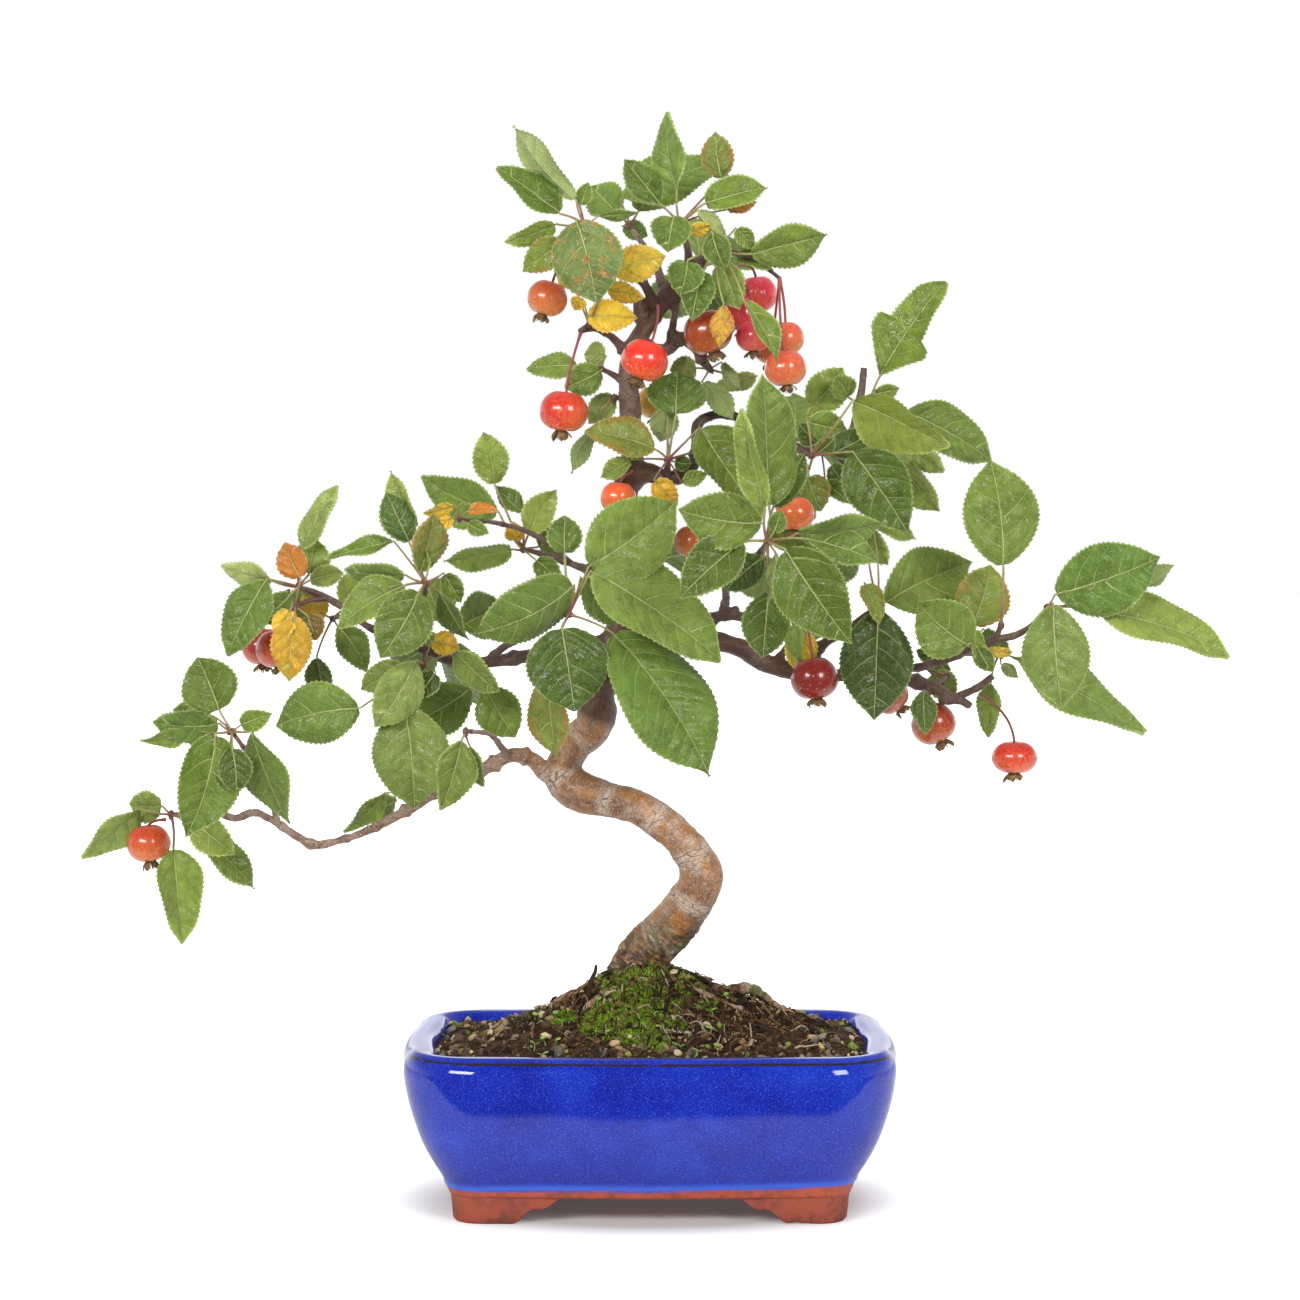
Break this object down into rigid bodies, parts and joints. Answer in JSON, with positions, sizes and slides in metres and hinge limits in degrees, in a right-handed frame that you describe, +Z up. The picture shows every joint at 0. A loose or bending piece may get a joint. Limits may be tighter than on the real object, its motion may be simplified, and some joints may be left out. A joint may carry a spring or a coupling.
{
  "type": "crabapple bonsai",
  "caption": "Fruiting crabapple bonsai: a winding trunk with leafy sprays and small red fruits, rooted in a soil mound in a glazed oblong pot on bracket feet.",
  "frame": {"origin": "middle of the object's box on the plane that the pot's feet stand on", "axes": "+Z up, +X to the right seen from the front, -Y towards the front of the pot and tree"},
  "size_m": [0.5763, 0.2221, 0.5489],
  "materials": {
    "glaze": "glossy speckled cobalt glaze over terracotta, which is bare on the feet",
    "mesh": "dull black plastic mesh",
    "soil": "damp grit, fibre and moss",
    "bark": "smooth young bark, patchy orange brown and grey",
    "leaf": "satin green leaf with paler veins",
    "leaf_yellow": "satin yellow autumn leaf with brown spots",
    "fruit": "waxy red and orange skin with pale dots"
  },
  "bodies": {
    "root": {"pot": "glaze", "drain_screen_left": "mesh", "drain_screen_right": "mesh", "soil": "soil", "trunk": "bark", "spray_far_left": "leaf", "spray_left_high": "leaf", "spray_left_tip": "leaf", "spray_left_yellow": "leaf_yellow", "spray_left_behind": "leaf", "spray_left_middle": "leaf", "spray_yellow_young": "leaf_yellow", "spray_upper_left": "leaf", "spray_middle_front": "leaf", "spray_left_low": "leaf", "spray_left_low_behind": "leaf", "leaf_lowest_left": "leaf", "spray_low_front": "leaf", "spray_top_left": "leaf", "spray_top_behind": "leaf", "spray_crown_yellow": "leaf_yellow", "spray_top": "leaf", "spray_crown_right": "leaf", "spray_fruit_side": "leaf", "spray_trunk_left": "leaf", "spray_trunk_low_left": "leaf", "spray_middle": "leaf", "spray_right_front": "leaf", "spray_right_high": "leaf", "spray_right_top": "leaf", "spray_right_behind": "leaf", "spray_right_middle": "leaf", "spray_right_low": "leaf", "spray_right_low_behind": "leaf", "leaf_right_under": "leaf", "spray_right_under_behind": "leaf", "spray_far_right": "leaf", "leaf_right_tall": "leaf", "spray_middle_under": "leaf_yellow", "spray_back_middle": "leaf", "spray_back_left": "leaf", "spray_back_right_low": "leaf", "spray_back_right_high": "leaf", "spray_back_crown": "leaf", "fruit_far_left": "fruit", "fruits_left": "fruit", "fruit_top_left": "fruit", "fruit_left_of_trunk": "fruit", "fruit_middle": "fruit", "fruit_behind_trunk": "fruit", "fruit_crown_brown": "fruit", "fruits_crown_red": "fruit", "fruits_crown_right": "fruit", "fruit_behind_leaf": "fruit", "fruit_centre_right": "fruit", "fruit_right_red": "fruit", "fruit_dark": "fruit", "fruit_hidden_low": "fruit", "fruit_right_low": "fruit", "fruit_far_right": "fruit"}
  },
  "joints": []
}
